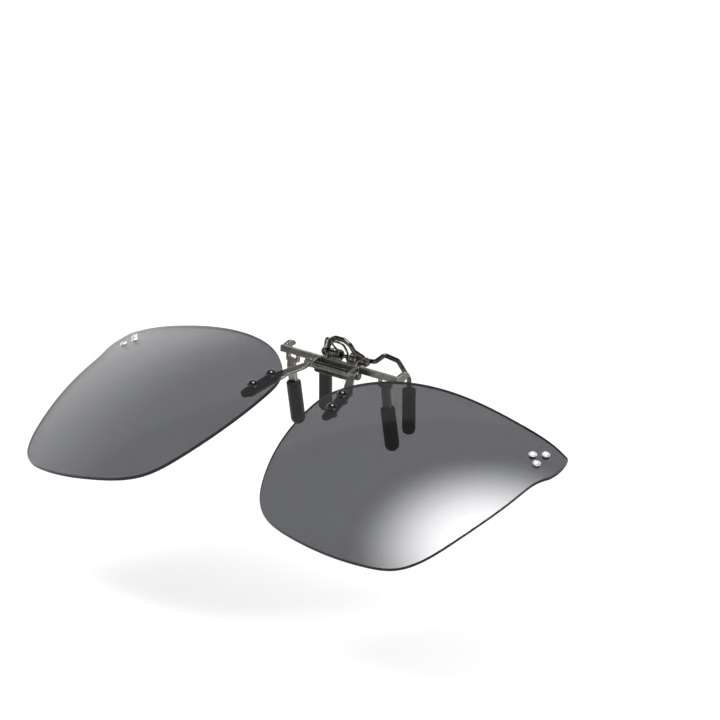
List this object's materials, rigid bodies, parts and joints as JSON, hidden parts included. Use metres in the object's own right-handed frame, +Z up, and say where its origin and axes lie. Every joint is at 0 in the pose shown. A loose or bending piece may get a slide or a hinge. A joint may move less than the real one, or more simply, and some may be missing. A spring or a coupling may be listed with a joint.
{
  "type": "clip on sunglasses",
  "caption": "Flip-up clip-on sunglasses: two tinted wayfarer-shaped rimless lenses on a hinged carrier, with a sprung, rubber-tipped claw that grips a host frame.",
  "frame": {"origin": "centre of the clip plate's flat rear face, which rests on the front of the host frame above its bridge", "axes": "+X across the face, towards the wearer's left, which is the right-hand side seen from the front; +Y back towards the wearer; +Z up"},
  "size_m": [0.1322, 0.0585, 0.0346],
  "materials": {
    "gunmetal": "gunmetal plating over stamped steel, satin",
    "polished_steel": "polished nickel",
    "spring_steel": "drawn spring wire, bright",
    "rubber": "black soft sleeve, slightly glossy",
    "gasket": "black gasket",
    "lens_tint": "smoke grey polarised lens, polished",
    "black_screw": "gloss black domed screws and nuts"
  },
  "bodies": {
    "clip": {"clip_plate": "gunmetal", "jaw_pin": "polished_steel", "jaw_spring": "spring_steel", "front_sleeve_left": "rubber", "front_sleeve_right": "rubber"},
    "jaw": {"thumb_lever": "gunmetal", "jaw_wire_left": "gunmetal", "jaw_wire_right": "gunmetal", "rear_sleeve_left": "rubber", "rear_sleeve_right": "rubber"},
    "carrier": {"flip_shaft": "polished_steel", "carrier_bar": "gunmetal", "lens_arm_left": "gunmetal", "lens_arm_right": "gunmetal", "lens_pad_left": "gasket", "lens_pad_right": "gasket", "lens_left": "lens_tint", "lens_right": "lens_tint", "lens_screws_left": "black_screw", "lens_screws_right": "black_screw", "lens_nuts_left": "black_screw", "lens_nuts_right": "black_screw", "corner_rivets_left": "polished_steel", "corner_rivets_right": "polished_steel"}
  },
  "joints": [
    {"name": "lens_flip", "type": "hinge", "parent": "clip", "child": "carrier", "pos_m": [0, -0.0026, -0.0013], "axis": [-1, 0, 0], "range_deg": [-65.2, 114.8]},
    {"name": "jaw_open", "type": "hinge", "parent": "clip", "child": "jaw", "pos_m": [0, 0.0016, 0.0009], "axis": [1, 0, 0], "range_deg": [-14, 25], "stiffness_Nm_per_rad": 0.01, "deforming": ["jaw_spring"]}
  ]
}
